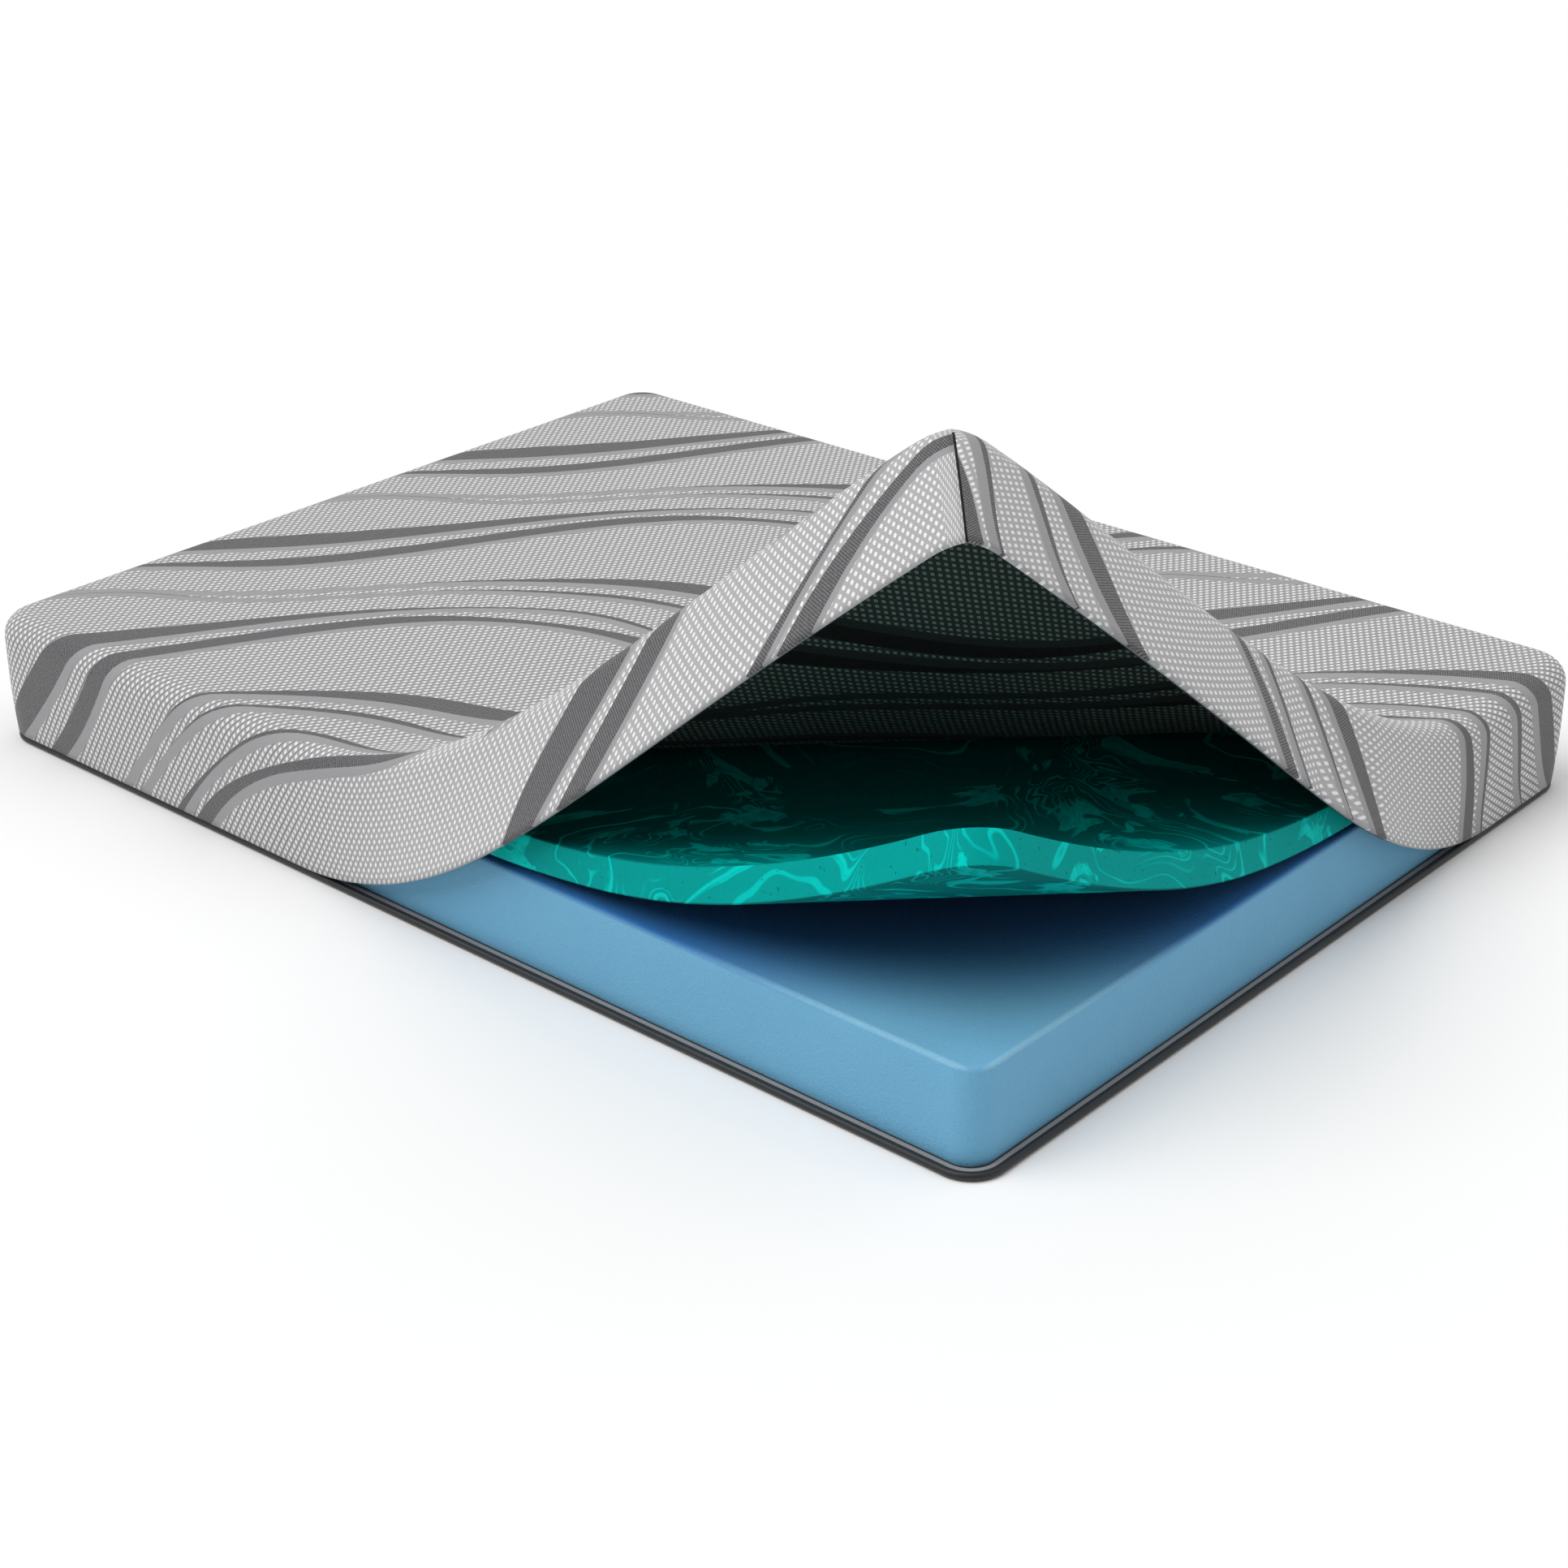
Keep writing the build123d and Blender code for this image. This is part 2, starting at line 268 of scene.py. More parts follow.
# ---- the knit pattern ---------------------------------------------------------------
# Bands run across the knit in waves.  A band's centre line is at
# x = start + lean * d + waves, where d is the distance from the far end of the mattress.
# Each band is a dark strip, whose width swells and thins, with a plain strip beside it.
REPEAT_X = 0.597
REPEAT_Y = 1.26
LEAN = 2 * REPEAT_X / REPEAT_Y
FAR_END = HALF_Y + COVER_OUTSET
LEFT_WALL_X = -0.775        # flat cloth beyond this is the left wall,
BARE_Y = 0.03               # where some bands stop short of the open corner here
BROAD_Y = -0.22             # and the others are broader from here
BANDS = [
    # start, waves (height, phase), dark width (mean, swing, second swing, widest at),
    # plain strip's width, whether the band stops short on the left wall
    (-0.4230, [(0.135, -1.47), (0.028, 1.66), (0.014, 0.94)], (0.035, 0.020, 0.016, 0.35),
     0.0165, False),
    (-0.3312, [(0.122, -1.10), (0.025, 1.17), (0.011, 1.71)], (0.033, 0.037, 0.015, 0.17),
     0.0170, False),
    (-0.7611, [(0.088, -0.15), (0.054, 1.07), (0.017, 1.22)], (0.0045, 0.006, 0.0045, 0.76),
     0.0170, True),
    (-0.6991, [(0.061, -0.36), (0.039, 1.21), (0.012, 1.53)], (0.016, 0.025, 0.0045, 0.86),
     0.0190, True),
]
STITCH_X = 0.01828          # the stitches stand in staggered rows
STITCH_Y = 0.0122
STITCH_HALF = 0.255         # of the room between two stitches


def band_masks(x, y):
    """How far a point is in a dark strip and in a plain strip, each from 0 to 1."""
    d = FAR_END - y
    once = 2 * pi / REPEAT_Y
    turn = d * once
    bare = (LEFT_WALL_X - x).rise(0.0, 0.015) * (BARE_Y - y).rise(0.0, 0.03)
    raised = bare * (BROAD_Y - y).rise(0.0, 0.06)
    dark, plain = None, None
    for start, waves, (mean, swing, second, widest), plain_width, stops in BANDS:
        centre, slope = d * LEAN + start, 0.0
        for count, (height, phase) in enumerate(waves, 1):
            centre = centre + (turn * count + phase).sine() * height
            steep = height * count * once
            slope = (turn * count + (phase + pi / 2)).sine() * steep + slope
        slope = slope + LEAN
        off = (((x - centre) / REPEAT_X + 0.5).fraction() - 0.5) * REPEAT_X
        peak = turn - (widest * once - pi / 2)
        peak_twice = turn * 2 - (2 * widest * once - pi / 2)
        half = (peak.sine() * (swing / 2) + peak_twice.sine() * (second / 2) + mean / 2).most(0)
        half = half * (raised * 0.45 + 1)
        plain_half = (slope * slope + 1).power(0.5) * (plain_width / 2) * (1 - raised * 0.35)
        strip = (half - abs(off)).rise(-0.0004, 0.0008)
        beside = (plain_half - abs(off + half + plain_half)).rise(-0.0006, 0.0010)
        if stops:
            strip, beside = strip * (1 - bare), beside * (1 - bare)
        dark = strip if dark is None else dark.most(strip)
        plain = beside if plain is None else plain.most(beside)
    return dark, plain


def knit(name, ground, stitch, plain_color, dark_low, dark_high, groove_shade_share, sheen):
    """Stretch knit with raised stitches and flowing bands, on the cover's own UV map."""
    finish = Finish(name)
    x, y, _ = finish.parts(finish.map("cloth"))
    dark, plain = band_masks(x, y)
    bands = dark.most(plain)
    smoothed = finish.stored("smoothed", "Fac")
    raised = 1 - smoothed * 0.85

    across, down, _ = finish.parts(finish.map("stitches"))
    a = (across / STITCH_X + down / STITCH_Y).fraction() - 0.5
    b = (across / STITCH_X - down / STITCH_Y).fraction() - 0.5
    lozenge = (abs(a).power(5) + abs(b).power(5)).power(1 / 5)
    stitched = 1 - bands
    tuft = (STITCH_HALF - lozenge).rise(-0.02, 0.02) * stitched
    groove = abs(a).rise(0.34, 0.50) * stitched
    dip_between = abs(b).rise(0.36, 0.50) * stitched
    dome = (0.50 - lozenge).rise(0.0, 0.36) * stitched

    fuzz = finish.noise(finish.joined(x * 900, y * 1400), 1.0, 2.0)
    twill = wave(x * 0.8 + y, 0.0021) * 0.5 + 0.5
    tall = (x / 0.0056 + y / 0.0050).fraction() - 0.5
    slant = (x / 0.0068 - y / 0.0042).fraction() - 0.5
    brick = (0.5 - abs(tall).most(abs(slant))).rise(0.02, 0.17)
    patchy = finish.noise(finish.joined(x * 260, y * 300), 1.0, 2.0, 0.6).rise(0.35, 0.62)
    cells = brick * 0.65 + patchy * brick * 0.35

    color = finish.mixed(fuzz * 0.6, rgb(*ground), shade(ground, 0.92))
    # Painted shade: the grooves and the dips between stitches are darkened in the colour, less
    # where the cloth is smoothed.
    painted_groove_shade = shade(ground, 0.60)
    color = finish.mixed(groove.most(dip_between * 0.45) * raised * groove_shade_share * 0.8, color, painted_groove_shade)
    color = finish.mixed(tuft, color, rgb(*stitch))
    ribbed = finish.mixed(twill * 0.7, rgb(*plain_color), shade(plain_color, 0.86))
    color = finish.mixed(plain, color, ribbed)
    melange = finish.mixed(cells, rgb(*dark_low), rgb(*dark_high))
    color = finish.mixed(dark, color, melange)

    seam = finish.stored("from_seam", "Fac")
    color = finish.mixed((0.0013 - seam).rise(-0.0006, 0.0004), color, rgb(14, 14, 16))
    puff = dome * raised * 0.9 - groove * raised * 0.5
    puff = puff + tuft * 0.12 + fuzz * 0.10 + twill * plain * 0.10 + cells * dark * 0.22
    height = puff * 0.0013 + seam.rise(0.0, 0.007) * 0.003
    return finish.done(Base_Color=color, Roughness=0.92, Sheen_Weight=sheen,
                       Sheen_Roughness=0.5, Specular_IOR_Level=0.15,
                       Normal=finish.bump(height))


def foam_blue():
    finish = Finish("blue_support_foam")
    place = finish.place()
    cells = finish.noise(place, 420, 3.0, 0.6)
    pores = finish.node("ShaderNodeTexVoronoi", {"feature": "F1"},
                        {"Vector": place, "Scale": 260}, "Distance")
    cloud = finish.noise(place, 7, 2.0)
    x, y, z = finish.parts(place)
    # Painted shade: the blue top turns dark navy towards the middle, where it lies under the gel
    # and the cover.
    painted_deep_shade = from_corner(x, y).rise(0.14, 0.42) * z.rise(0.145, 0.155)
    side = abs(x).rise(0.738, 0.744).most(abs(y).rise(0.992, 0.998))
    # Painted highlight: a pale line along the rounded top edges, kept out of the painted shade.
    rim = side * z.rise(CORE_TOP_Z - 0.0065, CORE_TOP_Z - 0.0025) * (1 - painted_deep_shade)
    color = finish.mixed(cloud, rgb(106, 170, 206), rgb(114, 178, 213))
    color = finish.mixed(painted_deep_shade * 0.92, color, rgb(0, 92, 166))
    color = finish.mixed(rim * 0.36, color, rgb(168, 212, 230))
    color = finish.mixed(cells.rise(0.45, 0.75) * 0.2, color, rgb(70, 136, 180))
    height = pores * 0.0005 + cells * 0.0007 + finish.noise(place, 60, 2.0) * 0.0005
    return finish.done(Base_Color=color, Roughness=0.7, Specular_IOR_Level=0.25,
                       Sheen_Weight=0.12, Normal=finish.bump(height))


def foam_gel():
    """Teal gel foam with poured swirls of brighter gel, on the foam's own flat place."""
    finish = Finish("marbled_gel_foam")
    flat = finish.stored("flat")
    stir = {"operation": "MULTIPLY_ADD"}
    slow = finish.noise(flat, 2.6, 1.0, 0.5, 0.0, "Color")
    poured = finish.node("ShaderNodeVectorMath", stir, {0: slow, 1: (0.60, 0.60, 0.30), 2: flat})
    quick = finish.noise(poured, 7.0, 1.0, 0.5, 0.8, "Color")
    stirred = finish.node("ShaderNodeVectorMath", stir,
                          {0: quick, 1: (0.16, 0.16, 0.10), 2: poured})
    flow = finish.noise(stirred, 3.4, 1.5, 0.5, 0.4)
    lines = wave(flow, 1 / 26).rise(0.62, 0.95)
    where_lines = finish.noise(poured, 5.0, 1.0).rise(0.49, 0.58)
    ribbons = (0.010 - abs(flow - 0.50)).rise(0.0, 0.007)
    where_ribbons = finish.noise(poured, 3.6, 1.0).rise(0.42, 0.52)
    blots = finish.noise(stirred, 8.5, 4.0, 0.5, 0.5).rise(0.585, 0.615)
    streaks = finish.noise(stirred, 30, 2.0, 0.6, 1.0).rise(0.35, 0.60)
    bright = (lines * where_lines * 0.65).most(ribbons * where_ribbons * 0.8)
    bright = bright.most(blots * (streaks * 0.45 + 0.45))
    x, y, z = finish.parts(flat)
    # Painted shade: the gel's top darkens deeper under the cover.
    painted_deep_shade = from_corner(x, y).rise(0.16, 0.60) * z.rise(GEL_TOP_Z - 0.003, GEL_TOP_Z - 0.001)
    # Painted shade: the gel's underside and the foot of its sides are darker, and its swirls dimmer
    # there.
    painted_underside_shade = (CORE_TOP_Z + 0.0035 - z).rise(0.0, 0.002)
    grain = finish.noise(flat, 700, 2.0)
    speck = finish.noise(flat, 150, 1.0).rise(0.72, 0.77)
    color = finish.mixed(finish.noise(flat, 9, 2.0), rgb(0, 150, 145), rgb(0, 164, 158))
    color = finish.mixed(grain.rise(0.5, 0.8) * 0.3, color, rgb(0, 112, 110))
    color = finish.mixed(painted_deep_shade * 0.5, color, rgb(0, 50, 52))
    color = finish.mixed(painted_underside_shade * 0.7, color, rgb(0, 66, 68))
    bright = bright * (1 - painted_underside_shade * 0.5)
    color = finish.mixed(bright, color, rgb(0, 214, 203))
    color = finish.mixed(speck * 0.6, color, rgb(0, 84, 84))
    height = grain * 0.0006 - speck * 0.0004
    return finish.done(Base_Color=color, Roughness=0.6, Specular_IOR_Level=0.04,
                       Normal=finish.bump(height))


def woven(name, color, other, pitch, depth, roughness=0.75):
    """A plain weave on Object coordinates, tight enough to read as cloth from close by."""
    finish = Finish(name)
    place = finish.place()
    x, y, z = finish.parts(place)
    over = wave(x + y, pitch)
    under = wave(x - y + z * 1.4, pitch)
    thread = over * under * 0.5 + 0.5
    fuzz = finish.noise(place, 900, 2.0)
    mix = finish.mixed(thread * 0.6 + fuzz * 0.4, rgb(*color), rgb(*other))
    height = thread * depth + fuzz * depth * 0.5
    return finish.done(Base_Color=mix, Roughness=roughness, Sheen_Weight=0.2,
                       Normal=finish.bump(height))


def base_cloth():
    """The underside: dark cloth with rows of small grip dots."""
    finish = Finish("grip_dot_base")
    place = finish.place()
    x, y, _ = finish.parts(place)
    a = (x / 0.012).fraction() - 0.5
    b = (y / 0.012).fraction() - 0.5
    away = (a * a + b * b).power(0.5)
    dot = (0.24 - away).rise(-0.03, 0.03)
    fuzz = finish.noise(place, 800, 2.0)
    color = finish.mixed(fuzz, rgb(70, 70, 73), rgb(88, 88, 92))
    color = finish.mixed(dot, color, rgb(34, 34, 36))
    return finish.done(Base_Color=color, Roughness=0.85,
                       Normal=finish.bump(dot * 0.0006 + fuzz * 0.0002))


def piping_cloth():
    """Dark bias fabric, ribbed along the piping."""
    finish = Finish("charcoal_piping")
    u, v, _ = finish.parts(finish.map("cloth"))
    rib = wave(u + v * 0.7, 0.0016) * 0.5 + 0.5
    fuzz = finish.noise(finish.joined(u * 900, v * 900), 1.0, 2.0)
    color = finish.mixed(rib * 0.6 + fuzz * 0.4, rgb(13, 14, 16), rgb(30, 31, 33))
    return finish.done(Base_Color=color, Roughness=0.45, Sheen_Weight=0.05,
                       Normal=finish.bump(rib * 0.00012 + fuzz * 0.0001))


def smooth_solid(name, color, metal, roughness):
    """Nylon or enamelled metal with faint wear."""
    finish = Finish(name)
    place = finish.place()
    wear = finish.noise(place, 400, 3.0)
    paint = finish.mixed(wear.rise(0.55, 0.8), rgb(*color), rgb(*[c * 1.5 + 6 for c in color]))
    return finish.done(Base_Color=paint, Metallic=metal, Roughness=wear * 0.2 + roughness,
                       Normal=finish.bump(wear * 0.00006))


KNIT = knit("knit_cover_cloth", (181, 180, 182), (236, 236, 236), (164, 163, 165),
            (24, 24, 26), (130, 129, 131), 1.0, 0.2)
# The cover's inside: the same knit in dark green-grey, painted shade standing in for the dark
# inside of the cover.
SHADED_INSIDE_KNIT = knit("knit_cover_inside_painted_shade", (44, 54, 51), (108, 124, 118), (33, 41, 40),
              (6, 7, 7), (20, 23, 23), 0.4, 0.05)
BLUE = foam_blue()
GEL = foam_gel()
PIPING = piping_cloth()
BASE = base_cloth()
TAPE = woven("grey_zip_tape", (128, 129, 132), (150, 151, 154), 0.0014, 0.00015)
BINDING = woven("dark_seam_binding", (52, 54, 57), (70, 72, 76), 0.0016, 0.00015)
FILLER = woven("cotton_filler_cord", (190, 188, 182), (214, 212, 206), 0.0020, 0.0002)
COIL = smooth_solid("nylon_zip_coil", (30, 31, 33), 0.0, 0.35)
ENAMEL = smooth_solid("black_enamel", (22, 22, 24), 0.9, 0.3)


# ---- meshes -------------------------------------------------------------------------
def placed(name, data):
    """A new object in the scene."""
    made = bpy.data.objects.new(name, data)
    bpy.context.scene.collection.objects.link(made)
    return made


def piece(name, points, faces, *materials):
    """A mesh object at the origin, shaded smooth."""
    mesh = bpy.data.meshes.new(name)
    mesh.from_pydata([tuple(map(float, p)) for p in points], [], faces)
    mesh.validate()
    for material in materials:
        mesh.materials.append(material)
    mesh.shade_smooth()
    return placed(name, mesh)


def store(mesh, name, values):
    """Keeps one number a point for a material to read."""
    stored = mesh.attributes.new(name, "FLOAT", "POINT")
    stored.data.foreach_set("value", np.asarray(values, np.float32))


def add_map(mesh, name, corners):
    """A UV map, given as the corners of each face in turn."""
    uv = mesh.uv_layers.new(name=name)
    uv.data.foreach_set("uv", np.array([p for face in corners for p in face], np.float32).ravel())


def ring_faces(rows):
    """Faces between closed rows of point numbers."""
    count = len(rows[0])
    return [(upper[c], lower[c], lower[(c + 1) % count], upper[(c + 1) % count])
            for upper, lower in zip(rows, rows[1:]) for c in range(count)]


def applied(obj):
    """Turns an object's modifiers into its mesh."""
    bpy.context.view_layer.update()
    graph = bpy.context.evaluated_depsgraph_get()
    mesh = bpy.data.meshes.new_from_object(obj.evaluated_get(graph))
    obj.modifiers.clear()
    obj.data = mesh
    return obj


def grid_lines(half, corner_r, spacing):
    """Grid lines from one side to the other, closer together at the corners."""
    close = corner_r * np.array([0.0, 0.045, 0.13, 0.28, 0.50, 0.75])
    count = int(round(2 * (half - corner_r) / spacing))
    middle = np.linspace(corner_r - half, half - corner_r, count + 1)
    return np.concatenate([-half + close, middle, half - close[::-1]])


def onto_corner(x, y, half_x, half_y, r):
    """Moves the points in the square corners of side r onto a rounded corner."""
    a = np.abs(x) - (half_x - r)
    b = np.abs(y) - (half_y - r)
    inside = (a > 0) & (b > 0)
    far = np.where(inside, np.maximum(a, b), 1.0)
    angle = np.where(inside, pi / 4 * np.minimum(a, b) / far, 0.0)
    long, short = far * np.cos(angle), far * np.sin(angle)
    new_x = np.sign(x) * (half_x - r + np.where(a >= b, long, short))
    new_y = np.sign(y) * (half_y - r + np.where(a >= b, short, long))
    return np.where(inside, new_x, x), np.where(inside, new_y, y)


class RoundedTop:
    """A grid over a rounded rectangle, and the ring of points round its outline.

    The open corner can be rounded by a share only, so that it turns more tightly."""

    def __init__(self, half_x, half_y, r, spacing, open_corner=1.0):
        lines_x = grid_lines(half_x, r, spacing)
        lines_y = grid_lines(half_y, r, spacing)
        self.nx, self.ny = len(lines_x), len(lines_y)
        gx, gy = np.meshgrid(lines_x, lines_y)
        x, y = onto_corner(gx, gy, half_x, half_y, r)
        index = np.arange(self.nx * self.ny).reshape(self.ny, self.nx)
        self.faces = [(index[j, i], index[j, i + 1], index[j + 1, i + 1], index[j + 1, i])
                      for j in range(self.ny - 1) for i in range(self.nx - 1)]
        self.sides = [index[0, :], index[:, -1], index[-1, ::-1], index[::-1, 0]]
        self.ring = np.concatenate([side[:-1] for side in self.sides])
        self.wall_of = np.concatenate([[k] * (len(side) - 1) for k, side in enumerate(self.sides)])
        rx, ry = x.ravel()[self.ring], y.ravel()[self.ring]
        out_x = np.maximum(np.abs(rx) - (half_x - r), 0) * np.sign(rx)
        out_y = np.maximum(np.abs(ry) - (half_y - r), 0) * np.sign(ry)
        length = np.hypot(out_x, out_y)
        self.normal_x, self.normal_y = out_x / length, out_y / length
        share = np.where((gx < 0) & (gy < 0), open_corner, 1.0)
        x, y = gx + (x - gx) * share, gy + (y - gy) * share
        self.x, self.y = x.ravel(), y.ravel()
        self.ring_x, self.ring_y = self.x[self.ring], self.y[self.ring]

    def wall(self, out):
        """Plan of the wall at a distance outside the ring."""
        return self.ring_x + self.normal_x * out, self.ring_y + self.normal_y * out


def tuck(down):
    """How far the cover's wall pulls in towards its hem."""
    return 0.0028 * max(0.0, (down - 0.10) / 0.108) ** 2


def profile(roll_r, wall_h, rows, roll_rows=8):
    """Steps down from the flat top: (outwards, down, length along the cloth)."""
    steps = []
    for k in range(1, roll_rows + 1):
        angle = pi / 2 * k / roll_rows
        steps.append((roll_r * sin(angle), roll_r * (1 - cos(angle)), roll_r * angle))
    for k in range(1, rows + 1):
        down = roll_r + (wall_h - roll_r) * k / rows
        belly = 0.0008 * sin(pi * (down - roll_r) / (wall_h - roll_r))
        steps.append((roll_r - tuck(down) + belly, down, roll_r * pi / 2 + down - roll_r))
    return steps


COVER_TOP = RoundedTop(HALF_X + COVER_OUTSET - COVER_ROLL_R, HALF_Y + COVER_OUTSET - COVER_ROLL_R,
                       COVER_CORNER_R - COVER_ROLL_R, 0.0125, open_corner=0.45)


def follow_cover(obj):
    """Bakes the transform of a piece that already follows the peeled-back corner into its mesh."""
    start, end = at(FOLD_S + 0.10, 0), at(FOLD_S - 0.10, 0)
    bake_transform(obj)


def pulled_stitches(face):
    """Stitch coordinates: as the cloth's own, but pulled askew on the lifted front wall."""
    moved = []
    for x, y in face:
        down = -(HALF_Y + COVER_OUTSET - COVER_ROLL_R) - y
        share = np.clip(down / 0.06, 0, 1) * np.clip((0.15 - x) / 0.22, 0, 1)
        moved.append((x + share * (0.147 * (x - 0.04) + 0.74 * down),
                      y + share * (0.148 * (x - 0.04) + 0.31 * down)))
    return moved


def make_cover():
    """The whole cover as one cloth with its thickness, mapped from flat to peeled back."""
    top = COVER_TOP
    steps = profile(COVER_ROLL_R, WALL_H, 15)
    count = len(top.ring)
    flat_x, flat_y, depth = [top.x], [top.y], [np.zeros(len(top.x))]
    for out, down, _ in steps:
        wall_x, wall_y = top.wall(out)
        flat_x.append(wall_x)
        flat_y.append(wall_y)
        depth.append(np.full(count, down))
    x, y, d = map(np.concatenate, (flat_x, flat_y, depth))

    rows = [top.ring] + [len(top.x) + k * count + np.arange(count) for k in range(len(steps))]
    faces = top.faces + ring_faces(rows)
    cloth = [[(top.x[i], top.y[i]) for i in face] for face in top.faces]
    # Each wall is a separate cut of cloth, sewn to the next one at the corner's middle.
    turn = np.arctan2(top.normal_y, top.normal_x)
    facing = [-pi / 2, 0.0, pi / 2, pi]
    outs = [0.0] + [step[0] for step in steps]
    lengths = [0.0] + [step[2] for step in steps]
    for k in range(len(steps)):
        for c in range(count):
            n = (c + 1) % count
            wall = top.wall_of[c]
            nx, ny = cos(facing[wall]), sin(facing[wall])
            corners = []
            for row, column in ((k, c), (k + 1, c), (k + 1, n), (k, n)):
                swing = (turn[column] - facing[wall] + pi) % (2 * pi) - pi
                side = outs[row] * swing
                px, py = top.ring_x[column], top.ring_y[column]
                corners.append((px + nx * lengths[row] - ny * side,
                                py + ny * lengths[row] + nx * side))
            cloth.append(corners)

    cover = piece("peeled_back_knit_cover", lifted(x, y, d), faces, KNIT, SHADED_INSIDE_KNIT)
    mesh = cover.data
    add_map(mesh, "cloth", cloth)
    add_map(mesh, "stitches", [pulled_stitches(face) for face in cloth])

    swing = np.abs(np.arctan2(np.abs(top.normal_y), np.abs(top.normal_x)) - pi / 4)
    front = (top.ring_x < 0) & (top.ring_y < 0)
    far = 0.05
    from_seam = [np.full(len(top.x), far)]
    for out, down, _ in steps:
        above = 0.0 if down > COVER_ROLL_R * 0.5 else far
        away = np.where(front, (0.012 + out) * swing + above, far)
        from_seam.append(np.minimum(away, far))
    store(mesh, "from_seam", np.concatenate(from_seam))
    s, _ = diagonal(x, y)
    store(mesh, "smoothed", np.clip((FOLD_S + 0.02 - s) / 0.20, 0, 1))

    shell = cover.modifiers.new("cloth thickness", "SOLIDIFY")
    shell.thickness = COVER_T
    shell.offset = -1
    # The cloth's inner face takes the second material, the dark knit that paints the inside's
    # shade.
    shell.material_offset = 1
    shell.material_offset_rim = 0
    applied(cover)
    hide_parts("knit_cover", "cover_corner_flap")
    follow_cover(cover)


def slab_faces(top, rings):
    """Closes a slab: top grid, rings round it and a bottom grid."""
    count = len(top.ring)
    rows = [top.ring] + [len(top.x) + k * count + np.arange(count) for k in range(rings)]
    first_bottom = len(top.x) + rings * count
    rows.append(first_bottom + top.ring)
    bottom = [tuple(first_bottom + i for i in reversed(face)) for face in top.faces]
    return top.faces + ring_faces(rows) + bottom


def slab_points(top, low, high, edge_r, wall_rows, edge_rows=4):
    """Points of a slab with rounded edges, in the order that slab_faces wants."""
    points = [np.stack([top.x, top.y, np.full(len(top.x), high)], -1)]
    rings = []
    for k in range(1, edge_rows + 1):
        angle = pi / 2 * k / edge_rows
        rings.append((edge_r * sin(angle), high - edge_r * (1 - cos(angle))))
    for k in range(1, wall_rows):
        rings.append((edge_r, high - edge_r + (low - high + 2 * edge_r) * k / wall_rows))
    for k in range(edge_rows, 0, -1):
        angle = pi / 2 * k / edge_rows
        rings.append((edge_r * sin(angle), low + edge_r * (1 - cos(angle))))
    for out, z in rings:
        x, y = top.wall(out)
        points.append(np.stack([x, y, np.full(len(x), z)], -1))
    points.append(np.stack([top.x, top.y, np.full(len(top.x), low)], -1))
    return np.concatenate(points), len(rings)


def make_core():
    """The blue support foam, with its small soft edges."""
    edge = 0.007
    top = RoundedTop(HALF_X - CORE_INSET - edge, HALF_Y - CORE_INSET - edge,
                     CORE_CORNER_R - edge, 0.03)
    points, rings = slab_points(top, BASE_T, CORE_TOP_Z, edge, 6)
    core = piece("blue_support_core", points, slab_faces(top, rings), BLUE)
    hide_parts("support_core")
    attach(core, "mattress")


# ---- gel layer ----------------------------------------------------------------------
def curl_table():
    """Angle, place and height of the gel's top at steps from the start of its curl."""
    q = np.linspace(0, CURL_END, CURL_STEPS)

    def summed(values):
        return np.concatenate([[0], np.cumsum(values * (q[1] - q[0]))])

    bend = np.interp(q, [0, CURL_HALF, 2 * CURL_HALF, CURL_END],
                     [0, CURL_MOST, CURL_TIP, CURL_TIP])
    angle = summed((bend[1:] + bend[:-1]) / 2)
    between = (angle[1:] + angle[:-1]) / 2
    return q, angle, summed(np.cos(between)), summed(np.sin(between))


def curled(points):
    """Bends flat gel points up along the diagonal."""
    s, t = diagonal(points[:, 0], points[:, 1])
    q, angle, along, rise = curl_table()
    reach = CURL_S - s
    bent = reach > 0
    turn = np.interp(reach, q, angle)
    below = GEL_TOP_Z - points[:, 2]
    new_s = CURL_S - np.interp(reach, q, along) - below * np.sin(turn)
    new_z = GEL_TOP_Z + np.interp(reach, q, rise) - below * np.cos(turn)
    x, y = at(np.where(bent, new_s, s), t)
    return np.stack([x, y, np.where(bent, new_z, points[:, 2])], -1)


def cut_at(mesh, s, keep_below):
    """Cuts a closed mesh square to the diagonal and closes the cut with a sharp edge."""
    x, y = at(s, 0)
    b = bmesh.new()
    b.from_mesh(mesh)
    cut = bmesh.ops.bisect_plane(b, geom=b.verts[:] + b.edges[:] + b.faces[:], dist=1e-6,
                                 plane_co=(x, y, 0), plane_no=(HALF_SQRT, HALF_SQRT, 0),
                                 clear_outer=keep_below, clear_inner=not keep_below)
    rim = [e for e in cut["geom_cut"] if isinstance(e, bmesh.types.BMEdge)]
    bmesh.ops.edgeloop_fill(b, edges=rim)
    for edge in rim:
        edge.smooth = False
    b.to_mesh(mesh)
    b.free()


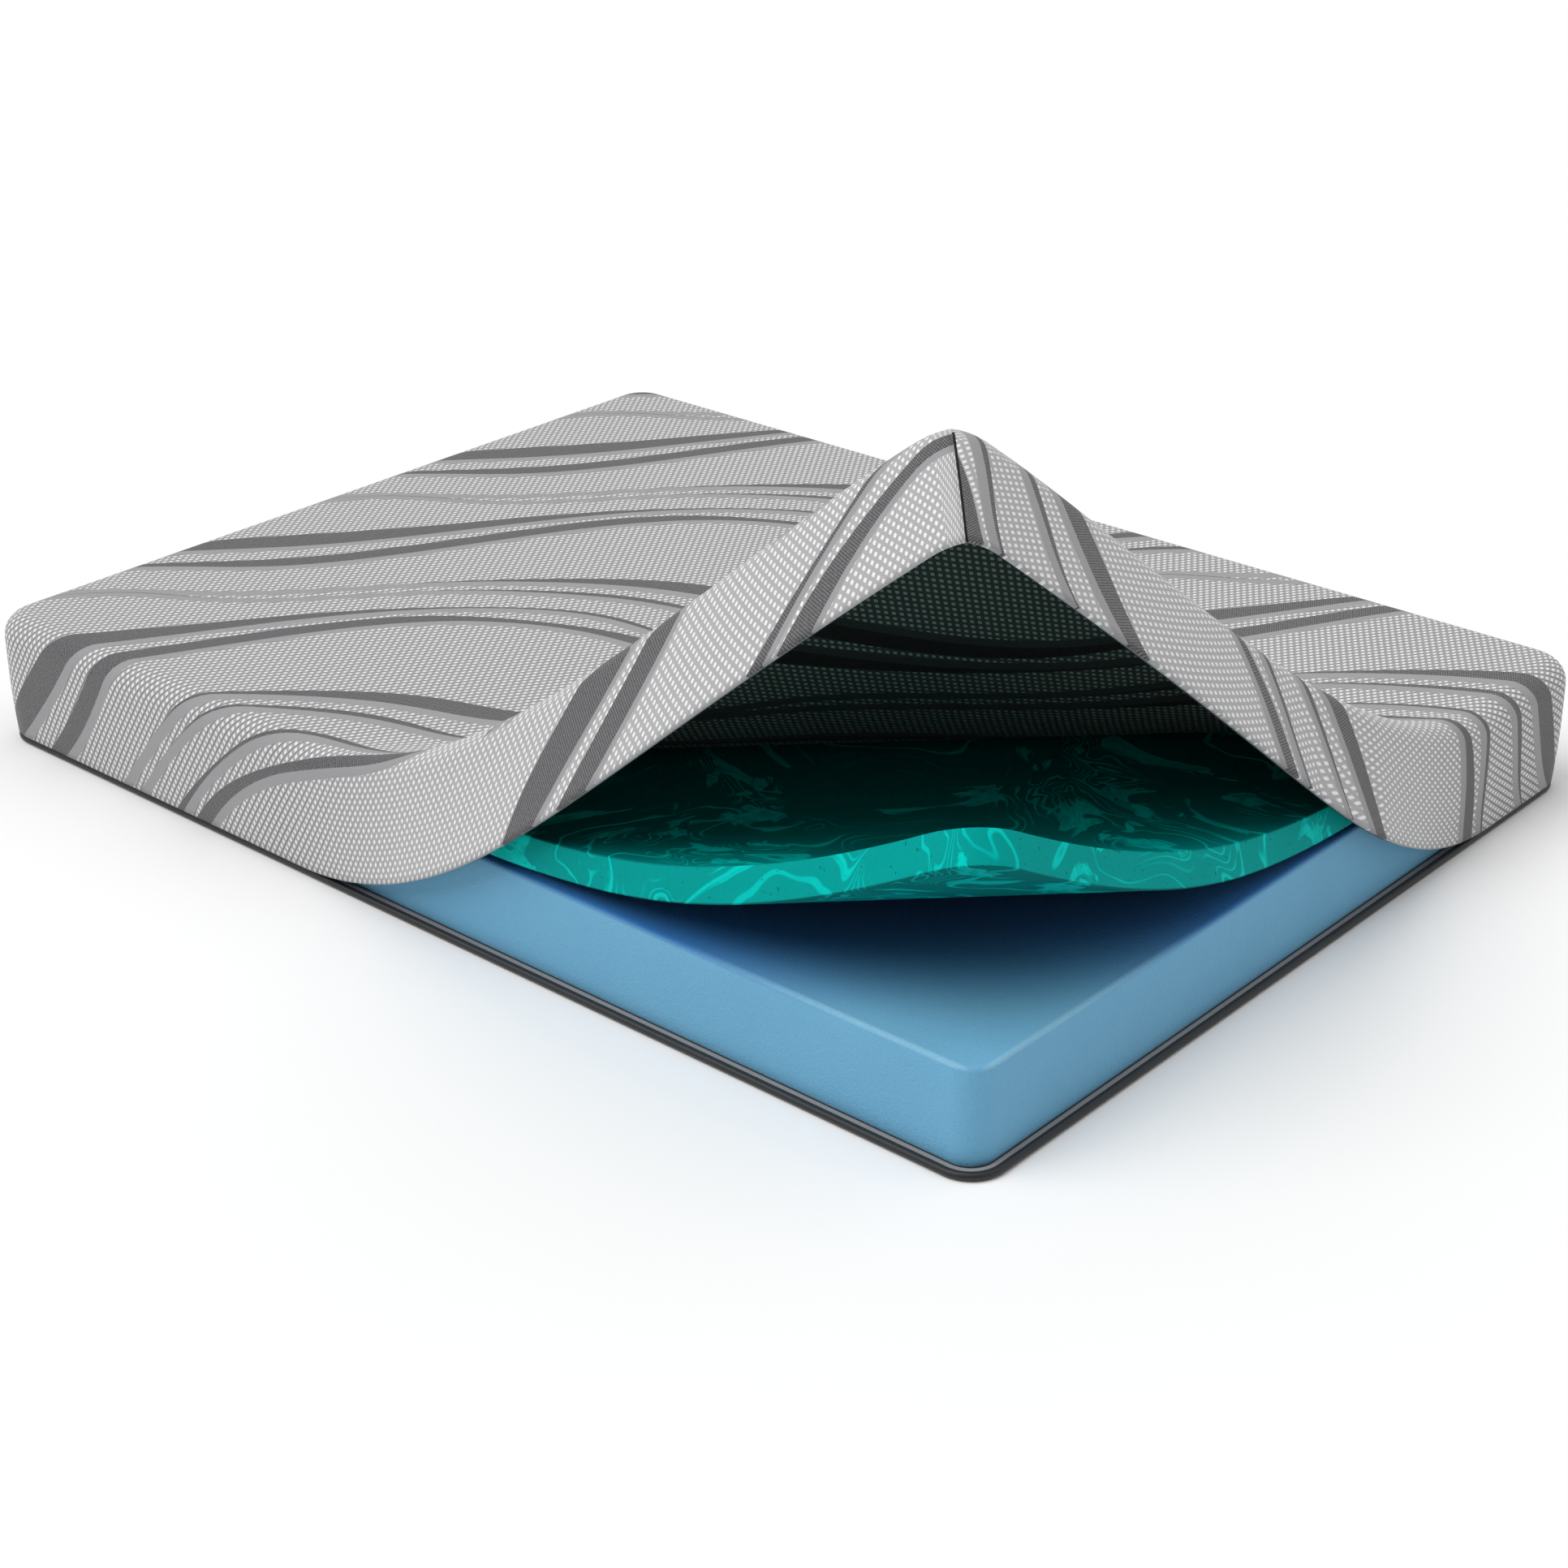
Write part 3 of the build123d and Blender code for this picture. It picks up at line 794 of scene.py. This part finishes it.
def make_gel():
    """The gel layer in four lengths, cut midway between its fold lines and curled up together
    towards the open corner.
    """
    edge = 0.0022
    top = RoundedTop(HALF_X - GEL_INSET - edge, HALF_Y - GEL_INSET - edge,
                     GEL_CORNER_R - edge, 0.018)
    points, rings = slab_points(top, CORE_TOP_Z + 0.0004, GEL_TOP_Z, edge, 4)
    faces = slab_faces(top, rings)
    ends = [(a + b) / 2 for a, b in zip(GEL_FOLDS, GEL_FOLDS[1:])]
    nodes = [["gel_layer", "gel_corner_1"], ["gel_corner_2"], ["gel_corner_3"], ["gel_corner_4"]]
    names = ["gel_layer_flat_part", "gel_layer_first_bend", "gel_layer_second_bend",
             "gel_layer_lifted_tip"]
    for k, name in enumerate(names):
        gel = piece(name, points, faces, GEL)
        if k < len(ends):
            cut_at(gel.data, ends[k], keep_below=False)
        if k > 0:
            cut_at(gel.data, ends[k - 1], keep_below=True)
        mesh = gel.data
        flat = np.empty(len(mesh.vertices) * 3, np.float32)
        mesh.vertices.foreach_get("co", flat)
        stored = mesh.attributes.new("flat", "FLOAT_VECTOR", "POINT")
        stored.data.foreach_set("vector", flat)
        mesh.vertices.foreach_set("co", curled(flat.reshape(-1, 3)).astype(np.float32).ravel())
        mesh.update()
        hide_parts(*nodes[k])
        start, end = gel_middle(GEL_FOLDS[k] + 0.08), gel_middle(GEL_FOLDS[k] - 0.08)
        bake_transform(gel)


def gel_middle(s):
    """A point in the middle of the curled gel."""
    x, y = at(s, 0)
    return tuple(curled(np.array([[x, y, GEL_TOP_Z - GEL_H / 2]]))[0])


# ---- piping and zip -----------------------------------------------------------------
TOOTH_PITCH = 0.0026
TOOTH_HEIGHT = 0.0021
TOOTH_THICKNESS = 0.0011
COIL_OUTSET = -0.0060       # from the piping's centre line, where the zip is closed
LOWER_COIL_Z = 0.0153
UPPER_COIL_Z = 0.0191


def straight(a, b, spacing=0.02):
    """Points between two others, without them."""
    count = max(int(np.hypot(b[0] - a[0], b[1] - a[1]) / spacing), 1)
    return [(a[0] + (b[0] - a[0]) * k / count, a[1] + (b[1] - a[1]) * k / count)
            for k in range(1, count)]


def piping_line(corner_steps=14):
    """Points round the piping's centre line, and each one's outwards way."""
    r = PIPING_CORNER_R
    points = []
    for sx, sy, first in ((1, -1, -90), (1, 1, 0), (-1, 1, 90), (-1, -1, 180)):
        cx, cy = sx * (HALF_X - r), sy * (HALF_Y - r)
        turns = [radians(first + 90 * k / corner_steps) for k in range(corner_steps + 1)]
        arc = [(cx + r * cos(turn), cy + r * sin(turn)) for turn in turns]
        if points:
            points += straight(points[-1], arc[0])
        points += arc
    points += straight(points[-1], points[0])
    path = np.array(points)
    ahead = np.roll(path, -1, 0) - np.roll(path, 1, 0)
    ahead /= np.linalg.norm(ahead, axis=1)[:, None]
    return path, np.stack([ahead[:, 1], -ahead[:, 0]], -1)


def make_piping():
    """The round piping as a closed tube with cloth coordinates along and round it."""
    path, out = piping_line()
    sides = 20
    points = []
    for (x, y), (ox, oy) in zip(path, out):
        for k in range(sides):
            angle = 2 * pi * k / sides
            r = PIPING_R * (1 - 0.03 * max(0.0, -sin(angle)))
            points.append((x + ox * r * cos(angle), y + oy * r * cos(angle),
                           PIPING_R + r * sin(angle)))
    length = np.concatenate([[0], np.cumsum(np.linalg.norm(np.diff(path, axis=0), axis=1))])
    whole = length[-1] + np.linalg.norm(path[0] - path[-1])
    faces, cloth = [], []
    count = len(path)
    side_width = 2 * pi * PIPING_R / sides
    for i in range(count):
        j = (i + 1) % count
        u0, u1 = length[i], length[i + 1] if i + 1 < count else whole
        for k in range(sides):
            n = (k + 1) % sides
            faces.append((i * sides + k, j * sides + k, j * sides + n, i * sides + n))
            v0, v1 = k * side_width, (k + 1) * side_width
            cloth.append([(u0, v0), (u1, v0), (u1, v1), (u0, v1)])
    tube = piece("charcoal_piping_sleeve", points, faces, PIPING)
    add_map(tube.data, "cloth", cloth)
    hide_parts("piping_sleeve")
    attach(tube, "mattress")


def side_path(outset):
    """Plan points of a line outset from the piping, and how far each is from the corner."""
    path, out = piping_line()
    s, _ = diagonal(path[:, 0], path[:, 1])
    return path + out * np.asarray(outset(s))[:, None], s


def in_one_run(wanted, *arrays):
    """The wanted points of a closed path, turned so that they follow each other."""
    first = next(i for i in range(len(wanted)) if wanted[i] and not wanted[i - 1])
    return [np.roll(a, -first, 0)[np.roll(wanted, -first)] for a in arrays]


def teeth_tree():
    """Geometry nodes that set zip teeth along a path, over a thin cord."""
    group = bpy.data.node_groups.new("zip_teeth", "GeometryNodeTree")
    for name, kind in (("Path", "NodeSocketGeometry"), ("Pitch", "NodeSocketFloat"),
                       ("Tooth height", "NodeSocketFloat"), ("Tooth thickness", "NodeSocketFloat"),
                       ("Material", "NodeSocketMaterial")):
        group.interface.new_socket(name, in_out="INPUT", socket_type=kind)
    group.interface.new_socket("Zip coil", in_out="OUTPUT", socket_type="NodeSocketGeometry")
    tree = Tree(group)

    def given(name):
        return tree.node("NodeGroupInput", output=name)

    line = tree.node("GeometryNodeMeshToCurve", None, {"Mesh": given("Path")})
    spots = tree.node("GeometryNodeResampleCurve", {"mode": "LENGTH"},
                      {"Curve": line, "Length": given("Pitch")})
    tooth = tree.node("GeometryNodeMeshCylinder", None, {
        "Vertices": 6, "Radius": given("Tooth thickness") / 2, "Depth": given("Tooth height")})
    along = tree.node("FunctionNodeAlignRotationToVector", {"axis": "X"},
                      {"Vector": tree.node("GeometryNodeInputTangent")})
    teeth = tree.node("GeometryNodeInstanceOnPoints", None,
                      {"Points": spots, "Instance": tooth, "Rotation": along})
    section = tree.node("GeometryNodeCurvePrimitiveCircle", None,
                        {"Resolution": 6, "Radius": given("Tooth thickness") * 0.55})
    cord = tree.node("GeometryNodeCurveToMesh", None,
                     {"Curve": line, "Profile Curve": section, "Fill Caps": True})
    both = tree.nodes.new("GeometryNodeJoinGeometry")
    tree.links.new(teeth.socket, both.inputs[0])
    tree.links.new(cord.socket, both.inputs[0])
    solid = tree.node("GeometryNodeRealizeInstances", None,
                      {"Geometry": Value(tree, both.outputs[0])})
    painted = tree.node("GeometryNodeSetMaterial", None,
                        {"Geometry": solid, "Material": given("Material")})
    tree.node("NodeGroupOutput", None, {"Zip coil": painted})
    return group


def make_coil(name, path, closed, node):
    """One side of the zip: nylon teeth along a path."""
    count = len(path)
    mesh = bpy.data.meshes.new(name)
    edges = [(i, i + 1) for i in range(count - 1)] + ([(count - 1, 0)] if closed else [])
    mesh.from_pydata([tuple(map(float, p)) for p in path], edges, [])
    coil = placed(name, mesh)
    modifier = coil.modifiers.new("teeth", "NODES")
    modifier.node_group = TEETH
    inputs = {"Pitch": TOOTH_PITCH, "Tooth height": TOOTH_HEIGHT,
              "Tooth thickness": TOOTH_THICKNESS, "Material": COIL}
    for item in TEETH.interface.items_tree:
        if item.name in inputs:
            modifier[item.identifier] = inputs[item.name]
    applied(coil)
    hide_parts(node)
    return coil


def make_zip():
    """Both coils of the side zip, and the zip's other half inside the lifted hem."""
    def lies_down(s):
        """1 where the corner is open, so that the lower coil lies flat on the base."""
        return np.clip((FOLD_S - s) / 0.07, 0, 1)

    path, s = side_path(lambda s: COIL_OUTSET - 0.0065 * lies_down(s))
    z = LOWER_COIL_Z - 0.0040 * lies_down(s)
    lower = make_coil("lower_zip_teeth", np.column_stack([path, z]), True, "lower_zip_coil")
    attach(lower, "mattress")

    path, s = side_path(lambda s: np.full(len(s), COIL_OUTSET))
    path, = in_one_run(s > FOLD_S + 0.001, path)
    points = np.column_stack([path, np.full(len(path), UPPER_COIL_Z)])
    upper = make_coil("upper_zip_teeth", points, False, "upper_zip_coil")
    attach(upper, "mattress")

    hem = make_coil("flap_zip_teeth", hem_line(0.0004, WALL_H - 0.0039), False,
                    "flap_zip_coil")
    follow_cover(hem)


def hem_line(outset, depth):
    """A line round the inside of the lifted hem."""
    x, y = COVER_TOP.wall(outset + COVER_ROLL_R - COVER_OUTSET)
    s, _ = diagonal(x, y)
    x, y = in_one_run(s < FOLD_S, x, y)
    return lifted(x, y, np.full(len(x), depth))


def ribbon(name, lines, thickness, material):
    """A closed strip through rows of points."""
    count = len(lines[0])
    faces = []
    for k in range(len(lines) - 1):
        for c in range(count - 1):
            i = k * count + c
            faces.append((i, i + count, i + count + 1, i + 1))
    made = piece(name, np.concatenate(lines), faces, material)
    shell = made.modifiers.new("thickness", "SOLIDIFY")
    shell.thickness = thickness
    shell.offset = -1
    return applied(made)


def make_flap_trims():
    """Zip tape inside the lifted hem and the binding over the seam inside its nose."""
    depths = [WALL_H - 0.018, WALL_H - 0.010, WALL_H - 0.002]
    tape = ribbon("flap_zip_tape_cloth", [hem_line(0.0029, depth) for depth in depths],
                  0.0012, TAPE)
    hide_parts("flap_zip_tape")
    follow_cover(tape)

    x, y = COVER_TOP.wall(COVER_ROLL_R)
    middle, _ = diagonal(x[0], y[0])
    rows = []
    for t in (-0.005, -0.0025, 0.0, 0.0025, 0.005):
        row = []
        for depth in np.linspace(COVER_ROLL_R + 0.006, WALL_H - 0.024, 24):
            inside = COVER_T + 0.0009 + tuck(depth)
            x, y = at(middle + inside + t * t / 0.06, t)
            row.append(lifted(np.array([x]), np.array([y]), np.array([depth]))[0])
        rows.append(np.array(row))
    seam = ribbon("nose_seam_binding", rows, 0.0010, BINDING)
    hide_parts("front_corner_seam")
    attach(seam, "cover_corner")


def finish_nodes():
    """Materials for the CAD nodes that stay as they are."""
    finishes = {
        "base_panel": BASE, "piping_cord": FILLER, "lower_zip_tape": TAPE,
        "upper_zip_tape": TAPE, "left_corner_seam": BINDING, "right_corner_seam": BINDING,
        "rear_corner_seam": BINDING, "left_zip_slider": ENAMEL, "right_zip_slider": ENAMEL,
        "left_pull_tab": ENAMEL, "right_pull_tab": ENAMEL,
    }
    for name, material in finishes.items():
        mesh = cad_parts[name].data
        mesh.materials.clear()
        mesh.materials.append(material)


# ---- camera, floor and light --------------------------------------------------------
def make_camera():
    data = bpy.data.cameras.new("camera")
    data.lens, data.sensor_width = 66.04, 36.0
    data.clip_start, data.clip_end = 0.05, 2000
    camera = placed("camera", data)
    heading, tilt, roll = (Matrix.Rotation(radians(degrees), 4, axis)
                           for degrees, axis in ((-48.746, "Z"), (63.634, "X"), (-0.151, "Z")))
    place = Matrix.Translation((-3.1725, -2.8121, 2.0527))
    camera.matrix_world = place @ heading @ tilt @ roll
    bpy.context.scene.camera = camera


def wide_sun(name, towards, spread, strength):
    """A soft, even light from far away; spread is the width of its sky in degrees."""
    data = bpy.data.lights.new(name, "SUN")
    data.angle, data.energy = radians(spread), strength
    lamp = placed(name, data)
    lamp.rotation_euler = (-Vector(towards)).to_track_quat("-Z", "Y").to_euler()


def make_studio():
    """A pale floor under a weak white sky and three wide lights."""
    finish = Finish("pale_floor")
    cloud = finish.noise(finish.place(), 0.4, 1.0)
    color = finish.mixed(cloud, (0.93, 0.93, 0.93, 1), (0.95, 0.95, 0.95, 1))
    material = finish.done(Base_Color=color, Roughness=0.9, Specular_IOR_Level=0.0)
    far = 400.0
    corners = [(-far, -far, 0), (far, -far, 0), (far, far, 0), (-far, far, 0)]
    floor = piece("pale_floor", corners, [(0, 1, 2, 3)], material)
    floor.location.z = -0.0005
    world = bpy.data.worlds.new("studio")
    bpy.context.scene.world = world
    world.use_nodes = True
    sky = world.node_tree.nodes["Background"].inputs
    sky["Color"].default_value = (1, 1, 1, 1)
    sky["Strength"].default_value = 0.22
    wide_sun("key", (-0.60, 0.40, 1.0), 50, 1.75)
    wide_sun("overhead", (0.05, 0.20, 1.0), 110, 0.95)
    wide_sun("right_fill", (0.62, -0.60, 0.62), 80, 0.62)
    view = bpy.context.scene.view_settings
    view.view_transform = "Standard"
    view.look = "None"


TEETH = teeth_tree()
make_cover()
make_core()
make_gel()
make_piping()
make_zip()
make_flap_trims()
finish_nodes()
make_camera()
make_studio()
